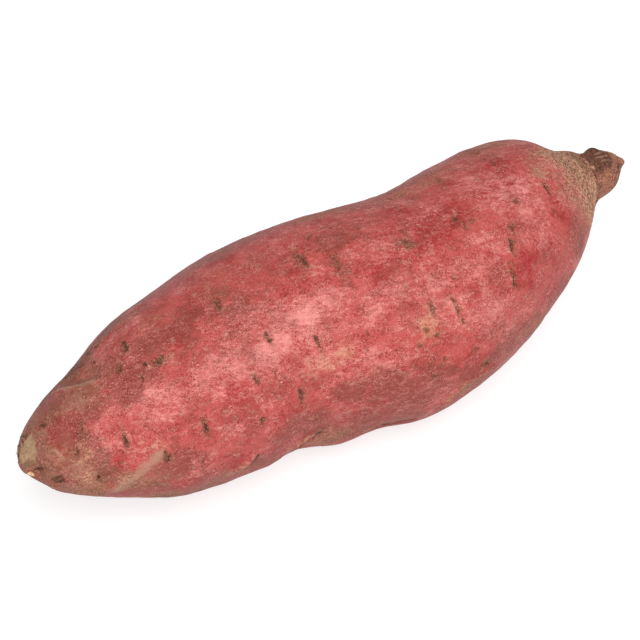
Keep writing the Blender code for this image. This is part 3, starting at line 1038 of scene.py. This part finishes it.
def paint_ends(skin):
    """Tan tip and neck, the scraped patch, the stub's bark and its cut face, and painted shade low
    on the sides, underneath and high on the back.
    """
    at = skin.at
    # Where the tip, the neck, the red hollow and the stub begin, with ragged edges.
    ragged = 5 * grain(at, 9, 11) + 2.5 * grain(at, 3.5, 12)
    lower = np.clip(skin.around - 80, 0, 90)
    start = np.where(skin.around < 230, 66 + 0.11 * lower, 68)
    start += 4 * (1 - smooth_step(60, 80, skin.around)) * (skin.around > 20)
    neck = smooth_step(start - 6, start + 9, at[:, 0] + 0.6 * ragged)
    bare = 1 - smooth_step(4, 6.5, np.linalg.norm(at - RED_HOLLOW, axis=1))
    tip = 1 - smooth_step(-95, -84, at[:, 0] + ragged + 8 * bare)
    stub = smooth_step(86.0, 88.5, at[:, 0] + 0.1 * (skin.around - 90).clip(-40, 40))
    skin.add("net", np.maximum(neck * (1 - 0.45 * stub), 0.55 * tip))
    skin.add("russet", np.maximum(0.8 * stub, 0.6 * tip))
    skin.add("mauve", 0.62 * tip * (0.6 + 0.4 * smooth_step(-0.5, 0.5, grain(at, 3.5, 19))))
    skin.add("olive", np.maximum(0.3 * tip, 0.75 * stub))
    skin.add("bark", 0.2 * stub)
    skin.add("dusty", np.maximum(bare, 1 - smooth_step(-90, -80, at[:, 0] + ragged)))
    skin.add("deep", bare)
    # Painted shade: darker, duller skin low on the sides, underneath and high on the back.
    low = smooth_step(166, 192, skin.around + 14 * grain(at, 9, 13)) * (skin.around < 350)
    patches = smooth_step(-0.6, 0.6, grain(at, 8, 14))
    skin.add("dusty", low * (0.2 + 0.5 * patches))
    skin.add("mauve", 0.25 * low * smooth_step(-0.4, 0.7, grain(at, 6, 15)))
    skin.add("deep", low)
    # Painted shade underneath: olive and russet.
    under = smooth_step(184, 206, skin.around + 10 * grain(at, 7, 16)) * (skin.around < 350)
    skin.add("olive", 0.55 * under * smooth_step(-0.3, 0.6, grain(at, 5, 17)))
    skin.add("russet", 0.5 * under * smooth_step(-0.5, 0.5, grain(at, 9, 18)))
    # Painted shade high on the back.
    back = 1 - smooth_step(40, 62, np.minimum(skin.around, 400 - skin.around))
    skin.add("dusty", 0.7 * back * (0.4 + 0.6 * patches))
    # The cut face, by how far each point is behind the stub's end.
    end = at @ np.array(CUT_FACES)
    left = end.max() - end
    skin.add("cut", 1 - smooth_step(0.5, 1.4, left))
    # The frayed dark edge beside the scraped patch.
    edge = [(-91, 9, 39.5), (-94, 5.5, 39.5), (-96, 4.5, 38), (-97.5, 4, 36)]
    edge += [(-98.5, 3, 34.5), (-99, 1.5, 33)]
    skin.line(edge, 0.25, 1.3, "bark", 1.0, 40)
    frayed = smooth_step(-0.15, 0.25, grain(at * np.array([1, 1, 1.6]), 0.9, 41))
    close = skin.within(np.array([-96.5, 5, 36.5]), 7)
    skin.marks["bark"][close] *= 0.25 + 0.75 * frayed[close]


# ---- torn skin

# Torn bits of skin at the tip: where each is rooted and where it ends, in mm,
# its width, the way it faces, and whether it is pale or dark.
FLAKES = (
    ((-99, -1, 34), (-98.3, -3.4, 32.6), 2.0, (-0.5, -0.5, 0.7), "pale"),
    ((-98.5, -2.5, 33), (-97.8, -4, 32.8), 1.2, (-0.3, -0.6, 0.7), "pale"),
    ((-94, -6.5, 28.5), (-94, -7.6, 27.9), 0.9, (-0.3, -0.8, 0.3), "pale"),
    ((-98.5, 3.5, 35), (-98.7, 4.2, 33.8), 0.9, (-0.9, 0.2, 0.5), "pale"),
    ((-97, 4.5, 36.5), (-97.9, 4.7, 35.6), 0.8, (-0.8, 0.3, 0.6), "dark"),
    ((-95.5, 5.5, 38), (-96.3, 5.9, 37.2), 0.8, (-0.8, 0.4, 0.6), "dark"),
    ((-99, 2.5, 33.5), (-99.3, 2.2, 32.3), 0.8, (-0.9, 0.2, 0.4), "dark"),
)


class FlakeMaker(bpy.types.Operator):
    """Make the torn, curled bits of skin at the tip"""

    bl_idname = "sweet_potato.flakes"
    bl_label = "Torn skin"

    def execute(self, context):
        colours = context.scene.sweet_potato_colours
        materials = {
            "pale": flake_material("pale torn skin", colours.cream, colours.straw),
            "dark": flake_material("dark torn skin", colours.olive, colours.bark),
        }
        flakes = []
        for root, end, width, faces, tone in FLAKES:
            flake = one_flake(Vector(root), Vector(end), width, Vector(faces))
            flake.data.materials.append(materials[tone])
            flakes.append(flake)
        deselect_all()
        for flake in flakes:
            flake.select_set(True)
        context.view_layer.objects.active = flakes[0]
        bpy.ops.object.join()
        piece = context.active_object
        piece.name = piece.data.name = "torn_skin"
        edit(piece)
        bpy.ops.mesh.normals_make_consistent(inside=False)
        bpy.ops.mesh.faces_shade_smooth()
        leave_edit()
        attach(piece, BODY)
        return {"FINISHED"}


def one_flake(root, end, width, out):
    """A thin leaf that leaves the skin at its root and curls towards its end."""
    deselect_all()
    bpy.ops.mesh.primitive_grid_add(x_subdivisions=8, y_subdivisions=5, size=1)
    flake = bpy.context.active_object
    forth = end - root
    side = forth.cross(out).normalized()
    out = side.cross(forth).normalized()
    for corner in flake.data.vertices:
        along, across = corner.co.x + 0.5, corner.co.y
        taper = (1 - along) ** 0.6 * 0.85 + 0.15 * math.cos(along * 9)
        curl = 0.35 * along**2 - 0.1 + 0.5 * across**2
        place = root + forth * along + side * across * width * taper + out * curl
        corner.co = place * MM
    thick = flake.modifiers.new("thickness", "SOLIDIFY")
    thick.thickness = 0.12 * MM
    thick.offset = 0
    bpy.ops.object.modifier_apply(modifier=thick.name)
    return flake


def flake_material(name, light, dark):
    """Dry torn skin, light with darker places."""
    w = Wiring(name)
    mm = w.scaled(w.metres(), PER_METRE)
    colour = w.blend(w.stretch(w.noise(mm, 1.6, 2, 0.6), 0.42, 0.62), light, dark)
    return w.finish({"Base Color": colour, "Roughness": 0.7})


# ---- the stage


class StageMaker(bpy.types.Operator):
    """Make the pale floor, the soft studio light and the camera"""

    bl_idname = "sweet_potato.stage"
    bl_label = "Stage"

    def execute(self, context):
        stage = context.scene.sweet_potato_stage
        deselect_all()
        under = (0, 0, BOX_LOW.z - FLOOR_GAP)
        bpy.ops.mesh.primitive_plane_add(size=4, location=under)
        floor = context.active_object
        floor.name = "floor"
        finish = {
            "Base Color": opaque(stage.floor_colour),
            "Roughness": 0.9,
            "Specular IOR Level": 0.0,
            "Emission Color": (1, 1, 1, 1),
            "Emission Strength": stage.floor_glow,
        }
        floor.data.materials.append(Wiring("pale floor").finish(finish))

        world = bpy.data.worlds.new("white room")
        world.use_nodes = True
        background = world.node_tree.nodes["Background"]
        background.inputs["Color"].default_value = (1, 1, 1, 1)
        background.inputs["Strength"].default_value = stage.world_light
        context.scene.world = world
        context.scene.view_settings.view_transform = "Standard"

        soft_light("key light", stage.key_power, azimuth=-20, elevation=63, distance=1.15, size=0.8)

        away = direction(stage.azimuth, stage.elevation)
        data = bpy.data.cameras.new("camera")
        data.lens = stage.lens
        data.sensor_width = 36
        data.dof.use_dof = False
        camera = bpy.data.objects.new("camera", data)
        context.scene.collection.objects.link(camera)
        camera.location = AIM + away * stage.distance
        camera.rotation_euler = away.to_track_quat("Z", "Y").to_euler()
        context.scene.camera = camera
        return {"FINISHED"}


def direction(azimuth, elevation):
    """Away from the root, turned from the front and raised from the floor."""
    return Vector(
        (
            math.sin(azimuth) * math.cos(elevation),
            -math.cos(azimuth) * math.cos(elevation),
            math.sin(elevation),
        )
    )


def soft_light(name, power, azimuth, elevation, distance, size):
    """A round light that faces the root's middle; angles in degrees, lengths in metres."""
    data = bpy.data.lights.new(name, "AREA")
    data.shape = "DISK"
    data.size = size
    data.energy = power
    light = bpy.data.objects.new(name, data)
    bpy.context.scene.collection.objects.link(light)
    away = direction(math.radians(azimuth), math.radians(elevation))
    light.location = MIDDLE + away * distance
    light.rotation_euler = away.to_track_quat("Z", "Y").to_euler()


class SweetPotatoPanel(bpy.types.Panel):
    """The sizes, colours and makers, in the sidebar"""

    bl_label = "Sweet Potato"
    bl_idname = "VIEW3D_PT_sweet_potato"
    bl_space_type = "VIEW_3D"
    bl_region_type = "UI"
    bl_category = "Sweet Potato"

    def draw(self, context):
        scene = context.scene
        for settings in (
            scene.sweet_potato_sizes,
            scene.sweet_potato_colours,
            scene.sweet_potato_stage,
        ):
            box = self.layout.box()
            for name in settings.bl_rna.properties.keys():
                if name not in ("rna_type", "name"):
                    box.prop(settings, name)
        for maker in MAKERS:
            self.layout.operator(maker.bl_idname)


SETTINGS = (
    ("sweet_potato_sizes", SkinSizes),
    ("sweet_potato_colours", SkinColours),
    ("sweet_potato_stage", StageSettings),
)
MAKERS = (SkinMaker, FlakeMaker, StageMaker)


def register():
    for name, settings in SETTINGS:
        bpy.utils.register_class(settings)
        setattr(bpy.types.Scene, name, PointerProperty(type=settings))
    for maker in MAKERS:
        bpy.utils.register_class(maker)
    bpy.utils.register_class(SweetPotatoPanel)


def unregister():
    bpy.utils.unregister_class(SweetPotatoPanel)
    for maker in reversed(MAKERS):
        bpy.utils.unregister_class(maker)
    for name, settings in reversed(SETTINGS):
        delattr(bpy.types.Scene, name)
        bpy.utils.unregister_class(settings)


def main():
    register()
    bpy.ops.sweet_potato.skin()
    bpy.ops.sweet_potato.flakes()
    bpy.ops.sweet_potato.stage()


if __name__ == "__main__":
    main()
